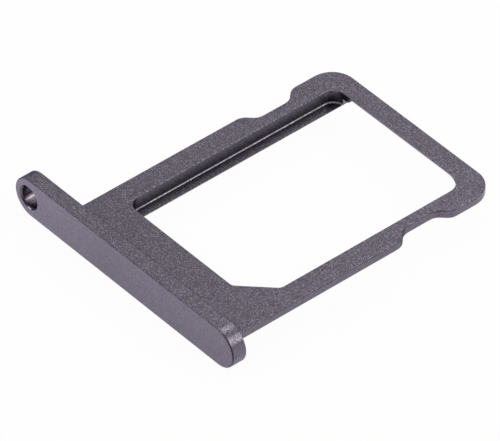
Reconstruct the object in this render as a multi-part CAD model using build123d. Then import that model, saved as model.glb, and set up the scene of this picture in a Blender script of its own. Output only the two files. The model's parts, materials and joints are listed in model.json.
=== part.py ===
from build123d import *
import os

# Sim card tray: one milled aluminium piece, a pill-shaped head with an eject hole and a flat card carrier.
# Millimetres. +Z is up, +Y is the way the tray slides in, +X runs along the head.
# The origin lies under the middle of the tray, level with the lowest line of the head.

# The card that the tray carries, in the smallest common size
card_length = 12.30
card_width = 8.80
card_thickness = 0.67
card_corner_cut = 1.65

# The card's room in its pocket
card_side_gap = 0.10
card_top_gap = 0.03
card_corner_gap = 0.19
pocket_corner_radius = 0.65
pocket_far_right_radius = 0.80
pocket_cut_round = 0.40
pocket_foot_round = 0.08

# The head, which closes the slot in the wall of the phone
head_length = 15.49
head_height = 2.13
head_thickness = 0.80
head_front_round = 0.07
head_back_round = 0.03

# The eject hole near the head's left end, with a chamfered rim
eject_hole_diameter = 1.12
eject_hole_from_end = 0.97
eject_front_chamfer = 0.09
eject_back_chamfer = 0.04

# The flat carrier behind the head
carrier_drop = 0.25
carrier_inset = 0.42
carrier_thickness = 0.47
left_rail_width = 1.24
right_rail_width = 1.12
near_bar_width = 1.78
far_bar_width = 1.07
far_corner_radius = 1.26
carrier_top_round = 0.05
carrier_bottom_round = 0.09
carrier_to_slot_gap = 0.04
joint_round = 0.18
joint_foot = 0.22

# The latch notches, alike in both rails
notch_from_far_end = 4.21
notch_floor_length = 1.88
notch_depth = 0.58
notch_round = 0.68

# The ledges under the card, and the rim under the carrier that they grow from
left_ledge_width = 0.57
right_ledge_width = 0.50
near_ledge_width = 0.45
ledge_thickness = 0.25
right_ledge_to_notch = 0.75
rim_wall = 0.45
rim_end_wall = 0.25
rim_corner_radius = 0.40

# The window in the pocket's floor, an upright cut that also opens the rim's far end
window_cut_round = 0.30
window_rise = 0.33

# The 45 degree relief from below, which leaves thin lands on the far bar, the right rail and the ledges
far_land = 0.08
right_land = 0.25
ledge_land = 0.03
relief_step_radius = 0.40
far_right_corner_radius = 0.90

# How far a cutting shape stands out of what it cuts, and how close counts as the same place
overrun = 1.0
same_place = 1e-6

# Places along the tray
pocket_length = card_length + 2 * card_side_gap
front_y = -(head_thickness + near_bar_width + pocket_length + far_bar_width) / 2
head_back_y = front_y + head_thickness
pocket_near_y = head_back_y + near_bar_width
pocket_far_y = pocket_near_y + pocket_length
far_y = pocket_far_y + far_bar_width
notch_y = far_y - notch_from_far_end
right_ledge_end_y = notch_y - notch_floor_length / 2 - notch_depth - right_ledge_to_notch

# Places across the tray
carrier_right_x = head_length / 2 - carrier_inset
pocket_right_x = carrier_right_x - right_rail_width
pocket_left_x = pocket_right_x - card_width - 2 * card_side_gap
carrier_left_x = pocket_left_x - left_rail_width
eject_hole_x = eject_hole_from_end - head_length / 2

# Heights
carrier_top_z = head_height - carrier_drop
carrier_bottom_z = carrier_top_z - carrier_thickness
pocket_floor_z = carrier_top_z - card_thickness - card_top_gap
rim_bottom_z = pocket_floor_z - ledge_thickness
relief_top_z = carrier_top_z - far_land

# The rim's far end and the window's sides
rim_far_y = pocket_far_y + rim_end_wall
window_left_x = pocket_left_x + left_ledge_width
window_right_x = pocket_right_x - right_ledge_width
window_near_y = pocket_near_y + near_ledge_width

# The relief's sides at its top, from where it spreads downwards and meets the ledges just under their tops
relief_inset = relief_top_z - pocket_floor_z + ledge_land
relief_left_x = window_left_x + relief_inset
relief_right_x = window_right_x - relief_inset
relief_far_right_x = pocket_right_x - right_land + far_land
relief_near_y = window_near_y + relief_inset
relief_step_y = right_ledge_end_y + relief_inset

# The cut corners of pocket, window and relief follow the card's cut corner
cut_corner_share = 2 - 2**0.5
pocket_cut_leg = card_corner_cut + 2 * card_side_gap - 2**0.5 * card_corner_gap
window_cut_leg = pocket_cut_leg - right_ledge_width - (1 - 2**0.5) * near_ledge_width
relief_cut_leg = window_cut_leg - cut_corner_share * relief_inset


def plan(z, outline):
    """Moves a plan outline to height z."""
    return Plane.XY.offset(z) * outline


def rounded(outline, corners, radius):
    """Rounds the corners of a plan outline that lie at the given points."""
    chosen = []
    for vertex in outline.vertices():
        for x, y in corners:
            if abs(vertex.X - x) + abs(vertex.Y - y) < same_place:
                chosen.append(vertex)
    return fillet(chosen, radius)


def cut_corner_outline(left, right, near, far, leg):
    """Corners of a plan rectangle whose near right corner is cut off at 45 degrees."""
    return [(left, near), (left, far), (right, far), (right, near + leg), (right - leg, near)]


def pill(length, inset=0):
    """Solid of the head's pill-shaped profile, drawn in by an inset, from the front over a length."""
    across = Plane(origin=(0, front_y, head_height / 2), x_dir=(1, 0, 0), z_dir=(0, 1, 0))
    profile = SlotOverall(head_length - 2 * inset, head_height - 2 * inset)
    return extrude(across * profile, amount=length)


def make_head():
    """Pill-shaped head with softened edges and the eject hole."""
    head = pill(head_thickness)
    head = fillet(head.faces().sort_by(Axis.Y)[0].edges(), head_front_round)
    head = fillet(head.faces().sort_by(Axis.Y)[-1].edges(), head_back_round)
    radius = eject_hole_diameter / 2
    rim = radius + eject_front_chamfer
    back_rim = radius + eject_back_chamfer
    half_section = Polyline(
        (0, 0),
        (rim, 0),
        (radius, eject_front_chamfer),
        (radius, head_thickness - eject_back_chamfer),
        (back_rim, head_thickness),
        (0, head_thickness),
        close=True,
    )
    mouth = (eject_hole_x, front_y, head_height / 2)
    hole = revolve(Plane(mouth) * make_face(half_section), Axis(mouth, (0, 1, 0)))
    return head - hole


def make_carrier():
    """Flat carrier with latch notches and round far corners, flared where it joins the head."""
    start = notch_y - notch_floor_length / 2
    end = notch_y + notch_floor_length / 2
    depths = [(0, start - notch_depth), (notch_depth, start), (notch_depth, end), (0, end + notch_depth)]
    left_notch = [(carrier_left_x + depth, y) for depth, y in depths]
    right_notch = [(carrier_right_x - depth, y) for depth, y in reversed(depths)]
    far_corners = [(carrier_left_x, far_y), (carrier_right_x, far_y)]
    joints = [(carrier_left_x, head_back_y), (carrier_right_x, head_back_y)]
    root_y = head_back_y - head_thickness / 2
    outline = make_face(
        Polyline(
            (carrier_left_x - joint_foot, root_y),
            (carrier_left_x - joint_foot, head_back_y),
            joints[0],
            *left_notch,
            *far_corners,
            *right_notch,
            joints[1],
            (carrier_right_x + joint_foot, head_back_y),
            (carrier_right_x + joint_foot, root_y),
            close=True,
        )
    )
    outline = rounded(outline, far_corners, far_corner_radius)
    outline = rounded(outline, left_notch + right_notch, notch_round)
    outline = rounded(outline, joints, joint_round)
    carrier = extrude(plan(carrier_bottom_z, outline), amount=carrier_thickness)
    carrier = fillet(carrier.faces().sort_by(Axis.Z)[-1].edges(), carrier_top_round)
    return fillet(carrier.faces().sort_by(Axis.Z)[0].edges(), carrier_bottom_round)


def make_rim():
    """Rim under the carrier: a near block, the left wall to the far end and a shorter right wall."""
    left_x = pocket_left_x - rim_wall
    right_x = pocket_right_x + rim_wall
    root_y = head_back_y - head_thickness / 2
    left_end = (left_x, rim_far_y)
    right_end = (right_x, right_ledge_end_y)
    outline = make_face(
        Polyline(
            (left_x, root_y),
            left_end,
            (relief_left_x, rim_far_y),
            (relief_left_x, right_ledge_end_y),
            right_end,
            (right_x, root_y),
            close=True,
        )
    )
    outline = rounded(outline, [left_end, right_end], rim_corner_radius)
    height = carrier_top_z - carrier_thickness / 2 - rim_bottom_z
    return extrude(plan(rim_bottom_z, outline), amount=height)


def make_pocket_cut():
    """Room for the card, with its cut corner and a small round at the foot of the walls."""
    corners = cut_corner_outline(
        pocket_left_x, pocket_right_x, pocket_near_y, pocket_far_y, pocket_cut_leg
    )
    outline = make_face(Polyline(*corners, close=True))
    outline = rounded(outline, corners[3:], pocket_cut_round)
    outline = rounded(outline, corners[:2], pocket_corner_radius)
    outline = rounded(outline, corners[2:3], pocket_far_right_radius)
    height = carrier_top_z - pocket_floor_z + overrun
    cut = extrude(plan(pocket_floor_z, outline), amount=height)
    return fillet(cut.faces().sort_by(Axis.Z)[0].edges(), pocket_foot_round)


def make_window_cut():
    """Upright opening through the pocket's floor and the rim's far end, which leaves the ledges."""
    corners = cut_corner_outline(
        window_left_x, window_right_x, window_near_y, rim_far_y, window_cut_leg
    )
    outline = make_face(Polyline(*corners, close=True))
    outline = rounded(outline, corners[3:], window_cut_round)
    outline = rounded(outline, corners[2:3], far_right_corner_radius)
    bottom_z = rim_bottom_z - overrun
    return extrude(plan(bottom_z, outline), amount=pocket_floor_z + window_rise - bottom_z)


def make_relief_cut():
    """Opening that starts just under the far bar's top and spreads downwards at 45 degrees."""
    far_right = (relief_far_right_x, pocket_far_y)
    step = (relief_far_right_x, relief_step_y)
    corners = cut_corner_outline(
        relief_left_x, relief_right_x, relief_near_y, pocket_far_y, relief_cut_leg
    )
    corners[2:3] = [far_right, step, (relief_right_x, relief_step_y)]
    outline = make_face(Polyline(*corners, close=True))
    outline = rounded(outline, [step], relief_step_radius)
    outline = rounded(outline, [far_right], far_right_corner_radius)
    drop = relief_top_z - rim_bottom_z + overrun
    above = extrude(plan(relief_top_z, outline), amount=far_land + overrun)
    below = extrude(plan(relief_top_z, outline), amount=-drop, taper=-45)
    return above + below


carrier = make_carrier() & pill(far_y - front_y, carrier_to_slot_gap)
tray = make_head() + carrier + make_rim() - make_pocket_cut() - make_window_cut() - make_relief_cut()

os.makedirs("parts", exist_ok=True)
export_step(tray, "parts/card_tray.step")
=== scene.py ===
import json
import logging
from dataclasses import dataclass, field
from enum import Enum
from functools import cached_property
from math import pi, sqrt

import bpy
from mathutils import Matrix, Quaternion, Vector


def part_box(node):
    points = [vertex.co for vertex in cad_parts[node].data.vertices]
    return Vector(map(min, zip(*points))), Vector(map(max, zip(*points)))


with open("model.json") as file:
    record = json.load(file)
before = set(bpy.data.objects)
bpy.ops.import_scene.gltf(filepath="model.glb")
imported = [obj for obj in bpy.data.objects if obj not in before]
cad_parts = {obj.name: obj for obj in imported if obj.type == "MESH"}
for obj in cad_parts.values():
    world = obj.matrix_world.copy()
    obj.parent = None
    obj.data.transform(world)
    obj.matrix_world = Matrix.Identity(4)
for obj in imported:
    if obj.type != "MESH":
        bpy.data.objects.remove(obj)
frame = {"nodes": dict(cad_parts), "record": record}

log = logging.getLogger("card_tray")

MILLIMETRE = 0.001

Colour = tuple[float, float, float]
Point = tuple[float, float, float]
Socket = bpy.types.NodeSocket
Number = Socket | float
Filling = Socket | float | Colour

WHITE: Colour = (1.0, 1.0, 1.0)


class Sum(Enum):
    """What a Math node works out from its inputs."""

    ADD = "ADD"
    SUBTRACT = "SUBTRACT"
    MULTIPLY = "MULTIPLY"
    MAXIMUM = "MAXIMUM"
    MINIMUM = "MINIMUM"
    ABSOLUTE = "ABSOLUTE"
    POWER = "POWER"


class Mixed(Enum):
    """What a Mix node mixes: its data type and the type of its sockets."""

    COLOURS = ("RGBA", "RGBA")
    NUMBERS = ("FLOAT", "VALUE")


class Ray(Enum):
    """Kinds of ray that see the floor as a plain white ground."""

    CAMERA = "Is Camera Ray"
    GLOSSY = "Is Glossy Ray"
    TRANSMISSION = "Is Transmission Ray"


@dataclass(frozen=True)
class Ramp:
    """A soft step from 0 at its start to 1 at its end, which may lie below the start."""

    start: float
    end: float

    def at(self, place: float) -> "Ramp":
        """Moves a step that is given from a face or an edge to its place."""
        return Ramp(place + self.start, place + self.end)


@dataclass(frozen=True)
class Band:
    """A range that counts in full, with soft sides outside it."""

    start: float
    end: float
    soft: float

    def at(self, place: float) -> "Band":
        """Moves a band that is given from a face or an edge to its place."""
        return Band(place + self.start, place + self.end, self.soft)


@dataclass(frozen=True)
class Slope:
    """A tone that goes straight from low at the start to high at the end, and stays there."""

    start: float
    end: float
    low: float
    high: float

    def at(self, place: float) -> "Slope":
        """Moves a slope that is given from a face or an edge to its place."""
        return Slope(place + self.start, place + self.end, self.low, self.high)


@dataclass
class NodeSheet:
    """A node tree with short methods for the nodes that the finishes share."""

    tree: bpy.types.NodeTree
    noise_roughness: float = 0.6

    def add(self, kind: str) -> bpy.types.Node:
        """Adds an empty node of a kind."""
        return self.tree.nodes.new(kind)

    def feed(self, target: Socket, value: Filling) -> None:
        """Links a socket into another, or sets a plain value on it.

        Args:
            target: The input socket to fill.
            value: An output socket, a number, a vector or a colour.
        """
        if isinstance(value, Socket):
            self.tree.links.new(value, target)
        elif target.type == "RGBA":
            target.default_value = (*value, 1.0)
        else:
            target.default_value = value

    def math(self, kind: Sum, first: Number, second: Number = 0.0) -> Socket:
        """Works out one number from two.

        Args:
            kind: What to work out.
            first: An output socket or a number.
            second: An output socket or a number.

        Returns:
            The socket that holds the result.
        """
        node = self.add("ShaderNodeMath")
        node.operation = kind.value
        self.feed(node.inputs[0], first)
        self.feed(node.inputs[1], second)
        return node.outputs[0]

    def fold(self, kind: Sum, first: Number, *others: Number) -> Number:
        """Works out one number from several, from left to right.

        Args:
            kind: What to work out.
            first: An output socket or a number.
            others: More output sockets or numbers.

        Returns:
            The socket that holds the result, or the first number if it is the only one.
        """
        result = first
        for other in others:
            result = self.math(kind, result, other)
        return result

    def product(self, *factors: Number) -> Number:
        """Multiplies numbers."""
        return self.fold(Sum.MULTIPLY, *factors)

    def highest(self, *values: Number) -> Number:
        """Gives the highest of some numbers."""
        return self.fold(Sum.MAXIMUM, *values)

    def split(self, vector: Socket) -> list[Socket]:
        """Takes a vector apart.

        Args:
            vector: The vector's socket.

        Returns:
            The sockets of its three parts.
        """
        node = self.add("ShaderNodeSeparateXYZ")
        self.feed(node.inputs[0], vector)
        return list(node.outputs)

    def rise(self, value: Socket, ramp: Ramp) -> Socket:
        """Goes smoothly from 0 to 1 along a ramp.

        Args:
            value: The socket to read.
            ramp: Where the result is 0 and where it is 1.

        Returns:
            The socket that holds the result.
        """
        upwards = ramp.start < ramp.end
        node = self.add("ShaderNodeMapRange")
        node.interpolation_type = "SMOOTHSTEP"
        self.feed(node.inputs["Value"], value)
        node.inputs["From Min"].default_value = min(ramp.start, ramp.end)
        node.inputs["From Max"].default_value = max(ramp.start, ramp.end)
        node.inputs["To Min"].default_value = 0.0 if upwards else 1.0
        node.inputs["To Max"].default_value = 1.0 if upwards else 0.0
        return node.outputs["Result"]

    def band(self, value: Socket, band: Band) -> Socket:
        """Is 1 while a value lies in a band, with soft sides outside it.

        Args:
            value: The socket to read.
            band: The band.

        Returns:
            The socket that holds the share.
        """
        low = self.rise(value, Ramp(band.start - band.soft, band.start))
        high = self.rise(value, Ramp(band.end + band.soft, band.end))
        return self.product(low, high)

    def line(self, value: Socket, slope: Slope) -> Socket:
        """Goes straight along a slope and stays at its ends.

        Args:
            value: The socket to read.
            slope: The slope.

        Returns:
            The socket that holds the result.
        """
        node = self.add("ShaderNodeMapRange")
        self.feed(node.inputs["Value"], value)
        node.inputs["From Min"].default_value = slope.start
        node.inputs["From Max"].default_value = slope.end
        node.inputs["To Min"].default_value = slope.low
        node.inputs["To Max"].default_value = slope.high
        return node.outputs["Result"]

    def spread(self, value: Socket, low: float, high: float) -> Socket:
        """Stretches a value that runs from 0 to 1 over a new range.

        Args:
            value: The socket to read.
            low: The result at 0.
            high: The result at 1.

        Returns:
            The socket that holds the result.
        """
        node = self.add("ShaderNodeMapRange")
        node.clamp = False
        self.feed(node.inputs["Value"], value)
        node.inputs["To Min"].default_value = low
        node.inputs["To Max"].default_value = high
        return node.outputs["Result"]

    def fade(self, share: Socket, tone: float) -> Socket:
        """Gives 1 where a share is 0 and a tone where it is 1."""
        return self.spread(share, 1.0, tone)

    def within(self, share: Socket, tone: Socket) -> Socket:
        """Gives 1 where a share is 0 and a tone that varies where it is 1."""
        return self.mix(Mixed.NUMBERS, share, 1.0, tone)

    def noise(self, where: Socket, size: float, detail: float) -> Socket:
        """Cloudy noise with lumps of about one size.

        Args:
            where: Place in millimetres.
            size: Size of a lump in millimetres.
            detail: How many finer layers lie on it.

        Returns:
            The socket that holds the noise, about 0.5 on average.
        """
        node = self.add("ShaderNodeTexNoise")
        self.feed(node.inputs["Vector"], where)
        node.inputs["Scale"].default_value = 1.0 / size
        node.inputs["Detail"].default_value = detail
        node.inputs["Roughness"].default_value = self.noise_roughness
        return node.outputs["Fac"]

    def cells(self, where: Socket, size: float) -> list[Socket]:
        """Crumbs of about one size, each with random tones of its own.

        Args:
            where: Place in millimetres.
            size: Size of a crumb in millimetres.

        Returns:
            Sockets of three random numbers from 0 to 1.
        """
        node = self.add("ShaderNodeTexVoronoi")
        self.feed(node.inputs["Vector"], where)
        node.inputs["Scale"].default_value = 1.0 / size
        split = self.add("ShaderNodeSeparateColor")
        self.feed(split.inputs[0], node.outputs["Color"])
        return list(split.outputs)

    def mix(self, kind: Mixed, share: Number, first: Filling, second: Filling) -> Socket:
        """Mixes two colours or two numbers.

        Args:
            kind: What to mix.
            share: 0 for the first, 1 for the second.
            first: An output socket, a colour or a number.
            second: An output socket, a colour or a number.

        Returns:
            The socket that holds the mixture.
        """
        node = self.add("ShaderNodeMix")
        node.data_type, socket_type = kind.value
        self.feed(node.inputs["Factor"], share)
        for name, value in (("A", first), ("B", second)):
            target = next(s for s in node.inputs if s.name == name and s.type == socket_type)
            self.feed(target, value)
        return next(s for s in node.outputs if s.type == socket_type)

    def tint(self, colour: Socket, factor: Colour) -> Socket:
        """Multiplies a colour by another.

        Args:
            colour: The colour's socket.
            factor: The other colour.

        Returns:
            The socket that holds the result.
        """
        node = self.add("ShaderNodeVectorMath")
        node.operation = "MULTIPLY"
        self.feed(node.inputs[0], colour)
        self.feed(node.inputs[1], factor)
        return node.outputs[0]

    def shade(self, vector: Socket, factor: Number) -> Socket:
        """Multiplies a colour or a place by a number.

        Args:
            vector: The socket of the colour or place.
            factor: An output socket or a number.

        Returns:
            The socket that holds the result.
        """
        node = self.add("ShaderNodeVectorMath")
        node.operation = "SCALE"
        self.feed(node.inputs[0], vector)
        self.feed(node.inputs["Scale"], factor)
        return node.outputs[0]


@dataclass(frozen=True)
class TraySizes:
    """Driving sizes of the tray in millimetres, and the places that follow from them.

    Args:
        head_front: Place of the head's front face.
        head_top: Height of the head's top.
        hole_place: Place of the eject hole's axis along the head.
        hole_height: Height of that axis.
        hole_radius: The hole's radius.
        ledge_top: Height of the ledges that carry the card.
    """

    head_front: float
    head_top: float
    hole_place: float
    hole_height: float
    hole_radius: float
    ledge_top: float
    head_length: float = 15.49
    head_thickness: float = 0.80
    carrier_drop: float = 0.25
    carrier_inset: float = 0.42
    right_rail_width: float = 1.12
    near_bar_width: float = 1.78
    pocket_length: float = 12.50
    pocket_width: float = 9.00
    pocket_cut_leg: float = 1.581
    hole_chamfer: float = 0.09

    @classmethod
    def packed(cls, node: str, record: dict) -> "TraySizes":
        """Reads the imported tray's box and its two mounts.

        Args:
            node: The tray's name in the frame.
            record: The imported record.

        Returns:
            The tray's sizes.
        """
        low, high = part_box(node)
        mounts = {mount["name"]: mount for mount in record["mounts"]}
        hole_place, _, hole_height = mounts["eject_hole"]["pos_m"]
        seat_height = mounts["card_seat"]["pos_m"][2]
        return cls(
            head_front=low.y / MILLIMETRE,
            head_top=high.z / MILLIMETRE,
            hole_place=hole_place / MILLIMETRE,
            hole_height=hole_height / MILLIMETRE,
            hole_radius=mounts["eject_hole"]["dims"]["r_mm"],
            ledge_top=seat_height / MILLIMETRE,
        )

    @property
    def head_right(self) -> float:
        """Place of the head's right end."""
        return self.head_length / 2.0

    @property
    def head_left(self) -> float:
        """Place of the head's left end."""
        return -self.head_length / 2.0

    @property
    def head_back(self) -> float:
        """Place of the head's back face."""
        return self.head_front + self.head_thickness

    @property
    def carrier_top(self) -> float:
        """Height of the carrier's top."""
        return self.head_top - self.carrier_drop

    @property
    def pocket_near(self) -> float:
        """Place of the pocket's near wall."""
        return self.head_back + self.near_bar_width

    @property
    def pocket_far(self) -> float:
        """Place of the pocket's far wall."""
        return self.pocket_near + self.pocket_length

    @property
    def pocket_right(self) -> float:
        """Place of the pocket's right wall."""
        return self.head_right - self.carrier_inset - self.right_rail_width

    @property
    def pocket_left(self) -> float:
        """Place of the pocket's left wall."""
        return self.pocket_right - self.pocket_width

    @property
    def hole_rim(self) -> float:
        """Radius of the eject hole's chamfered rim."""
        return self.hole_radius + self.hole_chamfer


@dataclass
class TrayPlaces:
    """Shares, from 0 to 1, of the tray's surface that its finish treats in their own way.

    Places are millimetres in the tray's own frame, and directions are parts of the unit normal.
    """

    sheet: NodeSheet
    place: Socket
    normal: Socket
    sizes: TraySizes
    x: Socket = field(init=False)
    y: Socket = field(init=False)
    z: Socket = field(init=False)
    to_right: Socket = field(init=False)
    to_far: Socket = field(init=False)
    to_top: Socket = field(init=False)

    def __post_init__(self) -> None:
        """Splits place and normal into their parts."""
        self.x, self.y, self.z = self.sheet.split(self.place)
        self.to_right, self.to_far, self.to_top = self.sheet.split(self.normal)

    def leaning(self, right: float, up: float) -> Socket:
        """Gives the cosine of the angle between the normal and a direction to the right and up."""
        rightwards = self.sheet.product(self.to_right, right)
        return self.sheet.math(Sum.ADD, rightwards, self.sheet.product(self.to_top, up))

    @cached_property
    def flatness(self) -> Socket:
        """Is 1 on level faces, turned up or down, and 0 on upright ones."""
        return self.sheet.math(Sum.ABSOLUTE, self.to_top)

    @cached_property
    def upright(self) -> Socket:
        """Share of the upright faces."""
        steep = Ramp(0.50, 0.20)
        return self.sheet.rise(self.flatness, steep)

    @cached_property
    def in_pocket(self) -> Socket:
        """Finds the pocket with its walls.

        Returns:
            The socket of its share.
        """
        slack = 0.015
        soft = 0.01
        sizes = self.sizes
        across = Band(sizes.pocket_left - slack, sizes.pocket_right + slack, soft)
        along = Band(sizes.pocket_near - slack, sizes.pocket_far + slack, soft)
        return self.sheet.product(self.sheet.band(self.x, across), self.sheet.band(self.y, along))

    @cached_property
    def outside_pocket(self) -> Socket:
        """Share of all that lies outside the pocket."""
        return self.sheet.spread(self.in_pocket, 1.0, 0.0)

    @cached_property
    def at_carrier_top(self) -> Socket:
        """Share of what is level with the carrier's top face."""
        level = Band(-0.01, 0.01, 0.01).at(self.sizes.carrier_top)
        return self.sheet.band(self.z, level)

    @cached_property
    def blasted(self) -> Socket:
        """Finds the grainy faces: the flat ones, and the carrier's top edges.

        Returns:
            The socket of their share.
        """
        sheet = self.sheet
        level = Ramp(0.46, 0.62)
        near_top = Ramp(-0.18, -0.08).at(self.sizes.carrier_top)
        behind_head = Ramp(-0.02, 0.02).at(self.sizes.head_back)
        flat = sheet.product(sheet.rise(self.flatness, level), self.outside_hole)
        edge = sheet.product(
            sheet.rise(self.z, near_top), sheet.rise(self.y, behind_head), self.outside_pocket
        )
        return sheet.highest(flat, edge)

    @cached_property
    def carrier_edge(self) -> Socket:
        """Finds the round along the carrier's top edges, outside the pocket.

        Returns:
            The socket of its share.
        """
        tilted = Ramp(0.998, 0.93)
        near_top = Ramp(-0.09, -0.045).at(self.sizes.carrier_top)
        behind_head = Ramp(0.0, 0.02).at(self.sizes.head_back)
        return self.sheet.product(
            self.sheet.rise(self.z, near_top),
            self.sheet.rise(self.flatness, tilted),
            self.sheet.rise(self.y, behind_head),
            self.outside_pocket,
        )

    @cached_property
    def head_edge(self) -> Socket:
        """Finds the round along the head's front edge, without the hole's rim.

        Returns:
            The socket of its share.
        """
        tilted = Ramp(0.99, 0.90)
        near_front = Ramp(0.085, 0.05).at(self.sizes.head_front)
        facing_front = self.sheet.math(Sum.ABSOLUTE, self.to_far)
        return self.sheet.product(
            self.sheet.rise(self.y, near_front),
            self.sheet.rise(facing_front, tilted),
            self.outside_hole,
        )

    @cached_property
    def step_foot(self) -> Socket:
        """Share of the strip of the carrier's top along the head's back."""
        strip = Band(0.0, 0.22, 0.035).at(self.sizes.head_back)
        return self.sheet.product(self.sheet.band(self.y, strip), self.at_carrier_top)

    @cached_property
    def right_side(self) -> Socket:
        """Share of the upright faces outside the pocket that are turned to the right."""
        facing_right = Ramp(0.25, 0.60)
        return self.sheet.product(
            self.outside_pocket, self.sheet.rise(self.to_right, facing_right), self.upright
        )

    @cached_property
    def turned_far(self) -> Socket:
        """Finds what is turned to the far end, as far as the notches' near slopes.

        Returns:
            The socket of its share.
        """
        facing_far = Ramp(0.10, 0.45)
        up_to_notches = Ramp(4.4, 3.4)
        return self.sheet.product(
            self.sheet.rise(self.to_far, facing_far), self.sheet.rise(self.y, up_to_notches)
        )

    @cached_property
    def from_hole_axis(self) -> Socket:
        """Measures how far a place lies from the eject hole's axis.

        Returns:
            The socket of the distance.
        """
        across = self.sheet.math(Sum.SUBTRACT, self.x, self.sizes.hole_place)
        up = self.sheet.math(Sum.SUBTRACT, self.z, self.sizes.hole_height)
        square = self.sheet.math(
            Sum.ADD, self.sheet.product(across, across), self.sheet.product(up, up)
        )
        return self.sheet.math(Sum.POWER, square, 0.5)

    @cached_property
    def outside_hole(self) -> Socket:
        """Is 0 in the eject hole and on its rim, and 1 outside."""
        outside = Ramp(0.0, 0.02).at(self.sizes.hole_rim)
        return self.sheet.rise(self.from_hole_axis, outside)

    @cached_property
    def hole_chamfer(self) -> Socket:
        """Finds the slanted rim at the eject hole's front.

        Returns:
            The socket of its share.
        """
        sheet = self.sheet
        inside = Ramp(0.02, 0.0).at(self.sizes.hole_rim)
        in_front = Ramp(0.14, 0.10).at(self.sizes.head_front)
        not_front_face = Ramp(-0.92, -0.80)
        not_hole_wall = Ramp(-0.40, -0.55)
        slanted = sheet.product(
            sheet.rise(self.to_far, not_front_face), sheet.rise(self.to_far, not_hole_wall)
        )
        return sheet.product(
            sheet.rise(self.from_hole_axis, inside), slanted, sheet.rise(self.y, in_front)
        )

    @cached_property
    def hole_wall(self) -> Socket:
        """Finds the eject hole's straight wall.

        Returns:
            The socket of its share.
        """
        inside = Ramp(0.04, 0.01).at(self.sizes.hole_radius)
        behind_rim = Ramp(0.05, 0.12).at(self.sizes.head_front)
        return self.sheet.product(
            self.sheet.rise(self.from_hole_axis, inside), self.sheet.rise(self.y, behind_rim)
        )

    @cached_property
    def pocket_wall(self) -> Socket:
        """Share of the pocket's walls above the round at their foot."""
        above_foot = Ramp(0.05, 0.09).at(self.sizes.ledge_top)
        return self.sheet.product(self.in_pocket, self.upright, self.sheet.rise(self.z, above_foot))

    @cached_property
    def pocket_foot(self) -> Socket:
        """Finds the round at the foot of the pocket's walls.

        Returns:
            The socket of its share.
        """
        tilted = Band(0.50, 0.95, 0.08)
        above_ledge = Band(0.005, 0.055, 0.01).at(self.sizes.ledge_top)
        return self.sheet.product(
            self.in_pocket,
            self.sheet.band(self.z, above_ledge),
            self.sheet.band(self.to_top, tilted),
        )

    @cached_property
    def pocket_lip(self) -> Socket:
        """Finds the thin strip of the left rail's top along the pocket.

        Returns:
            The socket of its share.
        """
        sheet = self.sheet
        across = Band(-0.08, 0.0, 0.02).at(self.sizes.pocket_left)
        along = Band(self.sizes.pocket_near, self.sizes.pocket_far, 0.05)
        return sheet.product(sheet.band(self.x, across), sheet.band(self.y, along), self.at_carrier_top)

    @cached_property
    def ledge(self) -> Socket:
        """Finds the ledges' top faces.

        Returns:
            The socket of their share.
        """
        level = Ramp(0.90, 0.98)
        height = Band(-0.08, 0.005, 0.01).at(self.sizes.ledge_top)
        return self.sheet.product(
            self.in_pocket, self.sheet.band(self.z, height), self.sheet.rise(self.to_top, level)
        )

    @cached_property
    def from_pocket_wall(self) -> Socket:
        """Measures how far a place lies from the pocket's nearest wall, apart from the far one.

        Returns:
            The socket of the distance.
        """
        sheet = self.sheet
        left = sheet.math(Sum.SUBTRACT, self.x, self.sizes.pocket_left)
        right = sheet.math(Sum.SUBTRACT, self.sizes.pocket_right, self.x)
        near = sheet.math(Sum.SUBTRACT, self.y, self.sizes.pocket_near)
        both = sheet.math(Sum.ADD, right, near)
        past_cut = sheet.math(Sum.SUBTRACT, both, self.sizes.pocket_cut_leg)
        return sheet.fold(Sum.MINIMUM, left, right, near, sheet.product(past_cut, sqrt(0.5)))


def warm_and_cool(hue: float, blue_share: float) -> tuple[Colour, Colour]:
    """Makes a warm and a cool white.

    Args:
        hue: How far apart their reds are.
        blue_share: How far apart their blues are, as a share of the hue.

    Returns:
        The warm white and the cool one.
    """
    half = hue / 2.0
    warm = (1.0 + half, 1.0, 1.0 - half * blue_share)
    cool = (1.0 - half, 1.0, 1.0 + half * blue_share)
    return warm, cool


@dataclass(frozen=True)
class BlastedGrain:
    """Coarse grain of the blasted faces: light and dark, warm and cool crumbs under faint clouds."""

    colour: Colour = (0.1810, 0.1626, 0.2050)
    crumb_size: float = 0.040
    crumb_power: float = 3.0
    crumb_contrast: float = 1.30
    crumb_hue: float = 0.24
    crumb_blue_share: float = 1.0 / 2.0
    cloud_size: float = 0.18
    cloud_detail: float = 2.0
    cloud_contrast: float = 0.08

    def paint(self, tray: TrayPlaces) -> Socket:
        """Makes the colour of the blasted faces, with few light crumbs among many dark ones.

        Args:
            tray: The places on the tray.

        Returns:
            The socket of the colour.
        """
        sheet = tray.sheet
        light, warmth, _ = sheet.cells(tray.place, self.crumb_size)
        average = 1.0 / (self.crumb_power + 1.0)
        crumbs = sheet.spread(
            sheet.math(Sum.POWER, light, self.crumb_power),
            1.0 - average * self.crumb_contrast,
            1.0 + (1.0 - average) * self.crumb_contrast,
        )
        clouds = sheet.spread(
            sheet.noise(tray.place, self.cloud_size, self.cloud_detail),
            1.0 - self.cloud_contrast,
            1.0 + self.cloud_contrast,
        )
        warm, cool = warm_and_cool(self.crumb_hue, self.crumb_blue_share)
        hue = sheet.mix(Mixed.COLOURS, warmth, warm, cool)
        return sheet.tint(sheet.shade(hue, sheet.product(crumbs, clouds)), self.colour)


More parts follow.
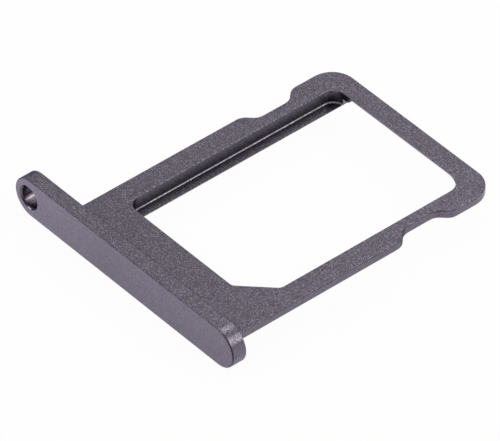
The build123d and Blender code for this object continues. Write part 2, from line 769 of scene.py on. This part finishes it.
@dataclass(frozen=True)
class SmoothWalls:
    """Smooth upright walls with faint warm and cool patches and fine specks."""

    colour: Colour = (0.1820, 0.1545, 0.2180)
    patch_size: float = 0.16
    patch_detail: float = 2.0
    patch_hue: float = 0.28
    patch_blue_share: float = 1.0 / 3.0
    speck_size: float = 0.055
    speck_contrast: float = 0.42

    def paint(self, tray: TrayPlaces) -> Socket:
        """Makes the colour of the smooth walls.

        Args:
            tray: The places on the tray.

        Returns:
            The socket of the colour.
        """
        sheet = tray.sheet
        half = self.speck_contrast / 2.0
        specks = sheet.spread(sheet.cells(tray.place, self.speck_size)[2], 1.0 - half, 1.0 + half)
        patches = sheet.noise(tray.place, self.patch_size, self.patch_detail)
        warm, cool = warm_and_cool(self.patch_hue, self.patch_blue_share)
        hue = sheet.mix(Mixed.COLOURS, patches, warm, cool)
        return sheet.shade(sheet.tint(hue, self.colour), specks)


@dataclass(frozen=True)
class PaintedFaceLight:
    """Painted light and shade over the tray's faces: slow changes of tone that stand in for how the
    light falls.
    """

    level: Ramp = Ramp(0.80, 0.95)
    drift_right: float = 0.0055
    drift_far: float = 0.0073
    drift_bend: float = 0.0009
    head_top: Ramp = Ramp(-0.18, -0.08)
    head_top_light_tone: float = 1.08
    front: Ramp = Ramp(-0.80, -0.95)
    front_along: Slope = Slope(-7.5, -1.5, 1.21, 0.945)
    front_up: Slope = Slope(0.4, 1.7, 0.90, 1.0)
    facing_right: Ramp = Ramp(0.60, 0.90)
    facing_right_shade_tone: float = 0.89
    side_along: Slope = Slope(4.6, 7.0, 1.0, 1.20)
    facing_near: Ramp = Ramp(-0.2, -0.6)
    facing_near_shade_tone: float = 0.88
    left_end: Ramp = Ramp(1.145, 0.545)
    left_end_upper: Ramp = Ramp(0.2, 0.5)
    left_end_shade_tone: float = 0.79

    def level_tone(self, tray: TrayPlaces) -> Socket:
        """Paints light on the level faces: lighter towards the far end and the right, and a little to
        the left.

        Args:
            tray: The places on the tray.

        Returns:
            The socket of their tone.
        """
        sheet = tray.sheet
        slope = sheet.fold(
            Sum.ADD,
            sheet.product(tray.x, self.drift_right),
            sheet.product(tray.y, self.drift_far),
            sheet.product(tray.x, tray.x, self.drift_bend),
        )
        return sheet.math(Sum.ADD, sheet.product(slope, sheet.rise(tray.flatness, self.level)), 1.0)

    def front_tone(self, tray: TrayPlaces) -> Socket:
        """Paints light and shade on the head's front: lighter towards its left end and darker towards
        its foot.

        Args:
            tray: The places on the tray.

        Returns:
            The socket of its tone.
        """
        sheet = tray.sheet
        drift = sheet.product(sheet.line(tray.x, self.front_along), sheet.line(tray.z, self.front_up))
        return sheet.within(sheet.rise(tray.to_far, self.front), drift)

    def side_tone(self, tray: TrayPlaces) -> Socket:
        """Paints shade on what faces right, most where it also faces near, and painted light towards
        the far end.

        Args:
            tray: The places on the tray.

        Returns:
            The socket of its tone.
        """
        sheet = tray.sheet
        facing_near = sheet.product(tray.right_side, sheet.rise(tray.to_far, self.facing_near))
        return sheet.product(
            sheet.fade(sheet.rise(tray.to_right, self.facing_right), self.facing_right_shade_tone),
            sheet.within(tray.right_side, sheet.line(tray.y, self.side_along)),
            sheet.fade(facing_near, self.facing_near_shade_tone),
        )

    def left_end_shade(self, tray: TrayPlaces) -> Socket:
        """Paints shade on the upper half of the head's left end.

        Args:
            tray: The places on the tray.

        Returns:
            The socket of its tone.
        """
        sheet = tray.sheet
        at_end = sheet.rise(tray.x, self.left_end.at(tray.sizes.head_left))
        upper = sheet.rise(tray.to_top, self.left_end_upper)
        return sheet.fade(sheet.product(at_end, upper), self.left_end_shade_tone)

    def tone(self, tray: TrayPlaces) -> Socket:
        """Gives the painted light and shade of all the faces.

        Args:
            tray: The places on the tray.

        Returns:
            The socket of the tone, 1 where nothing changes.
        """
        sheet = tray.sheet
        # Painted light: the head's top is made lighter.
        head_top = sheet.rise(tray.z, self.head_top.at(tray.sizes.head_top))
        return sheet.product(
            self.level_tone(tray),
            sheet.fade(head_top, self.head_top_light_tone),
            self.front_tone(tray),
            self.side_tone(tray),
            self.left_end_shade(tray),
        )


@dataclass(frozen=True)
class EdgeLines:
    """Dark broken lines along the carrier's top edges, painted shade along the head's front edge that
    stands in for a dark reflection, and a painted shade strip at the foot of the head's back.
    """

    dash_size: float = 0.30
    dash_detail: float = 2.0
    dash_step: Ramp = Ramp(0.42, 0.62)
    carrier_tone: float = 0.54
    carrier_gap: float = 0.7
    head_edge_shade_tone: float = 0.32
    head_gap: float = 0.10
    head_dash: float = 0.45
    lean_right: float = 0.75
    lean_up: float = 0.66
    upper_side: Ramp = Ramp(0.10, 0.55)
    right_end: Ramp = Ramp(-0.845, -0.345)
    step_shade_tone: float = 0.80

    def tone(self, tray: TrayPlaces) -> Socket:
        """Gives the tone of the lines and of the painted shade.

        Args:
            tray: The places on the tray.

        Returns:
            The socket of the tone, 1 beside the lines.
        """
        sheet = tray.sheet
        dash = sheet.rise(sheet.noise(tray.place, self.dash_size, self.dash_detail), self.dash_step)
        carrier = sheet.product(tray.carrier_edge, sheet.spread(dash, self.carrier_gap, 1.0))
        # Painted shade along the head's front edge, standing in for a dark reflection, strongest where
        # the edge turns right and up.
        upper = sheet.rise(tray.leaning(self.lean_right, self.lean_up), self.upper_side)
        dashes = sheet.spread(dash, self.head_gap, self.head_dash)
        at_right_end = sheet.rise(tray.x, self.right_end.at(tray.sizes.head_right))
        strength = sheet.mix(Mixed.NUMBERS, at_right_end, dashes, 1.0)
        head = sheet.product(tray.head_edge, upper, strength)
        return sheet.product(
            sheet.fade(carrier, self.carrier_tone),
            sheet.fade(head, self.head_edge_shade_tone),
            # Painted shade on the carrier's top at the foot of the head's back, where the step shades
            # it.
            sheet.fade(tray.step_foot, self.step_shade_tone),
        )


@dataclass(frozen=True)
class PaintedPocketLight:
    """Painted light and shade in the pocket: painted shade towards its foot, with a painted highlight
    line there and on its left lip.
    """

    lower_wall: Slope = Slope(0.12, 0.54, 0.80, 0.97)
    upper_wall: Slope = Slope(-0.14, -0.02, 1.0, 0.80)
    far_left: Ramp = Ramp(0.895, 0.595)
    round_start: Ramp = Ramp(0.05, -0.55)
    round_shade_tone: float = 0.40
    round_end: Ramp = Ramp(-0.60, -0.95)
    round_light_tone: float = 2.2
    far_land: Ramp = Ramp(-0.12, -0.09)
    far_land_facing: Ramp = Ramp(-0.5, -0.9)
    far_land_light_tone: float = 1.8
    ledge_shade_across: Slope = Slope(0.12, 0.46, 0.42, 1.10)
    foot_highlight_tone: float = 1.30
    dot_size: float = 0.10
    dot_detail: float = 0.0
    dot_step: Ramp = Ramp(0.50, 0.62)
    lip_highlight_tone: float = 1.80

    def wall_tone(self, tray: TrayPlaces) -> Socket:
        """Paints shade on the walls from foot to top, with painted shade and painted light in the far
        left round.

        Args:
            tray: The places on the tray.

        Returns:
            The socket of their tone.
        """
        sheet = tray.sheet
        upright_shade = sheet.product(
            sheet.line(tray.z, self.lower_wall.at(tray.sizes.ledge_top)),
            sheet.line(tray.z, self.upper_wall.at(tray.sizes.carrier_top)),
        )
        far_left = sheet.rise(tray.x, self.far_left.at(tray.sizes.pocket_left))
        dark = sheet.product(far_left, sheet.rise(tray.to_far, self.round_start))
        light = sheet.product(far_left, sheet.rise(tray.to_far, self.round_end))
        corner_shade = sheet.product(
            sheet.fade(dark, self.round_shade_tone), sheet.fade(light, self.round_light_tone)
        )
        return sheet.within(tray.pocket_wall, sheet.product(upright_shade, corner_shade))

    def far_land_line(self, tray: TrayPlaces) -> Socket:
        """Paints light on the thin edge of the far bar.

        Args:
            tray: The places on the tray.

        Returns:
            The socket of its tone.
        """
        sheet = tray.sheet
        facing_near = sheet.rise(tray.to_far, self.far_land_facing)
        height = sheet.rise(tray.z, self.far_land.at(tray.sizes.carrier_top))
        return sheet.fade(sheet.product(tray.in_pocket, facing_near, height), self.far_land_light_tone)

    def tone(self, tray: TrayPlaces) -> Socket:
        """Gives the painted light and shade of the pocket.

        Args:
            tray: The places on the tray.

        Returns:
            The socket of the tone, 1 outside the pocket and its lip.
        """
        sheet = tray.sheet
        dots = sheet.rise(sheet.noise(tray.place, self.dot_size, self.dot_detail), self.dot_step)
        return sheet.product(
            self.wall_tone(tray),
            self.far_land_line(tray),
            # Painted shade on the ledges, darkest next to the walls.
            sheet.within(tray.ledge, sheet.line(tray.from_pocket_wall, self.ledge_shade_across)),
            # Painted highlight along the round at the walls' foot.
            sheet.fade(tray.pocket_foot, self.foot_highlight_tone),
            # Painted highlight in dots along the left lip.
            sheet.fade(sheet.product(tray.pocket_lip, dots), self.lip_highlight_tone),
        )


@dataclass(frozen=True)
class PaintedHoleLight:
    """Painted light and shade of the eject hole: a painted highlight streak on its wall with painted
    shade on the rest of it, and a painted highlight spot at its rim's foot.
    """

    streak_right: float = 0.559
    streak_up: float = 0.829
    streak: Slope = Slope(0.962, 0.996, 0.47, 2.30)
    rim_up: Slope = Slope(0.15, 0.50, 0.86, 0.30)
    spot_across: Band = Band(-0.12, 0.08, 0.07)
    spot_up: Ramp = Ramp(0.45, 0.62)
    spot_radius: Ramp = Ramp(0.030, 0.065)
    spot_highlight_tone: float = 4.2

    def rim_tone(self, tray: TrayPlaces) -> Socket:
        """Paints shade on the rim towards its foot, apart from the painted highlight spot.

        Args:
            tray: The places on the tray.

        Returns:
            The socket of its tone.
        """
        sheet = tray.sheet
        spot = sheet.product(
            sheet.band(tray.to_right, self.spot_across),
            sheet.rise(tray.to_top, self.spot_up),
            sheet.rise(tray.from_hole_axis, self.spot_radius.at(tray.sizes.hole_radius)),
        )
        tone = sheet.mix(Mixed.NUMBERS, spot, sheet.line(tray.to_top, self.rim_up), self.spot_highlight_tone)
        return sheet.within(tray.hole_chamfer, sheet.product(tray.hole_chamfer, tone))

    def tone(self, tray: TrayPlaces) -> Socket:
        """Gives the painted light and shade of the hole's wall and rim.

        Args:
            tray: The places on the tray.

        Returns:
            The socket of the tone, 1 outside the hole.
        """
        sheet = tray.sheet
        # Painted highlight streak on the wall, and painted shade elsewhere on it.
        streak = sheet.line(tray.leaning(self.streak_right, self.streak_up), self.streak)
        return sheet.product(sheet.within(tray.hole_wall, streak), self.rim_tone(tray))


@dataclass(frozen=True)
class BlastedAluminium:
    """Anodised aluminium: smooth on its upright walls, blasted to a coarse grain on its flat faces."""

    sizes: TraySizes
    grain: BlastedGrain = BlastedGrain()
    walls: SmoothWalls = SmoothWalls()
    faces: PaintedFaceLight = PaintedFaceLight()
    edges: EdgeLines = EdgeLines()
    pocket: PaintedPocketLight = PaintedPocketLight()
    hole: PaintedHoleLight = PaintedHoleLight()
    recess_shade_tint: Colour = (0.925, 1.0, 0.91)
    gleam_tint: Colour = (1.0, 1.0, 0.90)
    roughness: float = 0.28
    hole_roughness: float = 0.26
    grazing_shade_tint: Colour = (0.28, 0.26, 0.31)
    away_left: Ramp = Ramp(-0.05, -0.40)
    away_left_share: float = 0.85
    away_down: Ramp = Ramp(-0.10, -0.80)
    away_far_share: float = 0.75
    bump_size: float = 0.08
    bump_detail: float = 2.0
    bump_depth: float = 0.008
    wall_bump_share: float = 0.05

    def paint(self, tray: TrayPlaces) -> Socket:
        """Makes the colour of the whole tray, with painted light and shade in it.

        Args:
            tray: The places on the tray.

        Returns:
            The socket of the colour.
        """
        sheet = tray.sheet
        colour = sheet.mix(Mixed.COLOURS, tray.blasted, self.walls.paint(tray), self.grain.paint(tray))
        # The recess tint colours the painted shade on the pocket's walls and ledges; the gleam tint
        # colours the painted highlights at the pocket's foot and in the eject hole.
        recess = sheet.highest(tray.pocket_wall, tray.ledge)
        gleam = sheet.highest(tray.pocket_foot, tray.hole_wall, tray.hole_chamfer)
        for share, factor in ((recess, self.recess_shade_tint), (gleam, self.gleam_tint)):
            colour = sheet.mix(Mixed.COLOURS, share, colour, sheet.tint(colour, factor))
        # The parts' tones paint light and shade into the colour.
        parts = (self.faces, self.edges, self.pocket, self.hole)
        return sheet.shade(colour, sheet.product(*(part.tone(tray) for part in parts)))

    def edge_tint(self, tray: TrayPlaces) -> Socket:
        """Makes the tint that paints shade on the grazing reflections of surfaces turned left, down or
        to the far end, to keep them from gleaming white.

        Args:
            tray: The places on the tray.

        Returns:
            The socket of the tint at a grazing angle.
        """
        sheet = tray.sheet
        turned_away = sheet.highest(
            sheet.product(sheet.rise(tray.to_right, self.away_left), self.away_left_share),
            sheet.rise(tray.to_top, self.away_down),
            sheet.product(tray.turned_far, self.away_far_share),
        )
        return sheet.mix(Mixed.COLOURS, turned_away, WHITE, self.grazing_shade_tint)

    def bump(self, tray: TrayPlaces) -> Socket:
        """Makes the fine bumps, which are almost flat on the smooth walls.

        Args:
            tray: The places on the tray.

        Returns:
            The socket of the bumped normal.
        """
        sheet = tray.sheet
        node = sheet.add("ShaderNodeBump")
        node.inputs["Distance"].default_value = self.bump_depth * MILLIMETRE
        height = sheet.noise(tray.place, self.bump_size, self.bump_detail)
        share = sheet.spread(tray.blasted, self.wall_bump_share, 1.0)
        sheet.feed(node.inputs["Height"], sheet.product(height, share))
        return node.outputs["Normal"]

    def build(self, name: str) -> bpy.types.Material:
        """Makes the material.

        Args:
            name: The material's name.

        Returns:
            The finished material.
        """
        material = bpy.data.materials.new(name)
        material.use_nodes = True
        material.node_tree.nodes.clear()
        sheet = NodeSheet(material.node_tree)
        coordinates = sheet.add("ShaderNodeTexCoord")
        place = sheet.shade(coordinates.outputs["Object"], 1.0 / MILLIMETRE)
        tray = TrayPlaces(sheet, place, coordinates.outputs["Normal"], self.sizes)
        roughness = sheet.mix(Mixed.NUMBERS, tray.hole_wall, self.roughness, self.hole_roughness)
        shader = sheet.add("ShaderNodeBsdfPrincipled")
        shader.inputs["Metallic"].default_value = 1.0
        sheet.feed(shader.inputs["Base Color"], self.paint(tray))
        sheet.feed(shader.inputs["Roughness"], roughness)
        sheet.feed(shader.inputs["Specular Tint"], self.edge_tint(tray))
        sheet.feed(shader.inputs["Normal"], self.bump(tray))
        output = sheet.add("ShaderNodeOutputMaterial")
        sheet.feed(output.inputs["Surface"], shader.outputs[0])
        return material


@dataclass(frozen=True)
class PaleFloorFinish:
    """White ground that keeps the tray's soft shadow."""

    colour: Colour = (0.95, 0.95, 0.95)
    ground_share: float = 0.96

    def build(self, name: str) -> bpy.types.Material:
        """Makes the material.

        Args:
            name: The material's name.

        Returns:
            The finished material.
        """
        material = bpy.data.materials.new(name)
        material.use_nodes = True
        material.node_tree.nodes.clear()
        sheet = NodeSheet(material.node_tree)
        path = sheet.add("ShaderNodeLightPath")
        seen = sheet.highest(*(path.outputs[ray.value] for ray in Ray))
        diffuse = sheet.add("ShaderNodeBsdfDiffuse")
        sheet.feed(diffuse.inputs["Color"], self.colour)
        ground = sheet.add("ShaderNodeEmission")
        sheet.feed(ground.inputs["Color"], WHITE)
        ground.inputs["Strength"].default_value = 1.0
        mix = sheet.add("ShaderNodeMixShader")
        sheet.feed(mix.inputs[0], sheet.product(seen, self.ground_share))
        sheet.feed(mix.inputs[1], diffuse.outputs[0])
        sheet.feed(mix.inputs[2], ground.outputs[0])
        output = sheet.add("ShaderNodeOutputMaterial")
        sheet.feed(output.inputs["Surface"], mix.outputs[0])
        return material


@dataclass(frozen=True)
class CardTray:
    """The milled tray itself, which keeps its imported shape."""

    node: str = "card_tray"

    def dress(self, nodes: dict[str, bpy.types.Object], record: dict) -> bpy.types.Object:
        """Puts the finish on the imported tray.

        Args:
            nodes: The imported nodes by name.
            record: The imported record.

        Returns:
            The dressed tray.
        """
        tray = nodes[self.node]
        finish = BlastedAluminium(TraySizes.packed(self.node, record))
        material = finish.build("blasted_aluminium")
        for slot in tray.material_slots:
            slot.material = material
        return tray


@dataclass(frozen=True)
class SoftBox:
    """A square soft light.

    Args:
        name: The light's name.
        place: Where it stands, in metres.
        side: Its side in metres.
        brightness: Its radiance, where 1 is a white ground in full light.
        colour: Its colour.
    """

    name: str
    place: Point
    side: float
    brightness: float
    colour: Colour = (1.0, 0.97, 0.90)

    def build(self) -> bpy.types.Object:
        """Makes the light and turns it to the tray.

        Returns:
            The light.
        """
        data = bpy.data.lights.new(self.name, "AREA")
        data.shape = "SQUARE"
        data.size = self.side
        data.energy = self.brightness * pi * self.side**2
        data.color = self.colour
        light = bpy.data.objects.new(self.name, data)
        light.location = self.place
        light.rotation_mode = "QUATERNION"
        light.rotation_quaternion = (-Vector(self.place)).to_track_quat("-Z", "Y")
        bpy.context.scene.collection.objects.link(light)
        return light


@dataclass(frozen=True)
class Studio:
    """Pale floor, soft light and the camera, in metres."""

    floor_side: float = 3.0
    sky_brightness: float = 0.68
    lights: tuple[SoftBox, ...] = (
        SoftBox("right_back_softbox", (0.309, 0.219, 0.251), 0.26, 2.0),
        SoftBox("top_back_softbox", (-0.124, 0.242, 0.420), 0.12, 2.9),
    )
    camera_place: Point = (0.225555, -0.188237, 0.258116)
    camera_aim: Point = (0.001062, -0.001417, 0.001065)
    camera_roll: float = -0.0121
    camera_lens: float = 613.7
    sensor_width: float = 36.0
    nearest: float = 0.01
    farthest: float = 10.0

    def build_floor(self) -> bpy.types.Object:
        """Lays the floor that the head stands on.

        Returns:
            The floor.
        """
        bpy.ops.mesh.primitive_plane_add(size=self.floor_side, location=(0.0, 0.0, 0.0))
        floor = bpy.context.object
        floor.name = "pale_floor"
        floor.data.materials.append(PaleFloorFinish().build("pale_floor"))
        return floor

    def build_light(self) -> list[bpy.types.Object]:
        """Sets the even sky and the soft lights.

        Returns:
            The soft lights.
        """
        world = bpy.data.worlds.new("studio")
        world.use_nodes = True
        background = world.node_tree.nodes["Background"]
        background.inputs["Color"].default_value = (*WHITE, 1.0)
        background.inputs["Strength"].default_value = self.sky_brightness
        bpy.context.scene.world = world
        return [light.build() for light in self.lights]

    def build_camera(self) -> bpy.types.Object:
        """Makes the camera at the photograph's place and makes it the scene's own.

        Returns:
            The camera.
        """
        data = bpy.data.cameras.new("studio_camera")
        data.sensor_width = self.sensor_width
        data.lens = self.camera_lens
        data.clip_start = self.nearest
        data.clip_end = self.farthest
        camera = bpy.data.objects.new("studio_camera", data)
        camera.location = self.camera_place
        camera.rotation_mode = "QUATERNION"
        sight = Vector(self.camera_aim) - Vector(self.camera_place)
        roll = Quaternion((0.0, 0.0, 1.0), self.camera_roll)
        camera.rotation_quaternion = sight.to_track_quat("-Z", "Y") @ roll
        bpy.context.scene.collection.objects.link(camera)
        bpy.context.scene.camera = camera
        return camera


def main() -> None:
    """Builds the scene and reports each piece."""
    logging.basicConfig(level=logging.INFO, format="%(message)s")
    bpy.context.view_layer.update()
    bpy.context.scene.view_settings.view_transform = "Standard"
    tray = CardTray().dress(frame["nodes"], frame["record"])
    log.info("dressed %s: %d faces", tray.name, len(tray.data.polygons))
    studio = Studio()
    log.info("laid %s", studio.build_floor().name)
    for light in studio.build_light():
        log.info("hung %s", light.name)
    log.info("made %s", studio.build_camera().name)


if __name__ == "__main__":
    main()
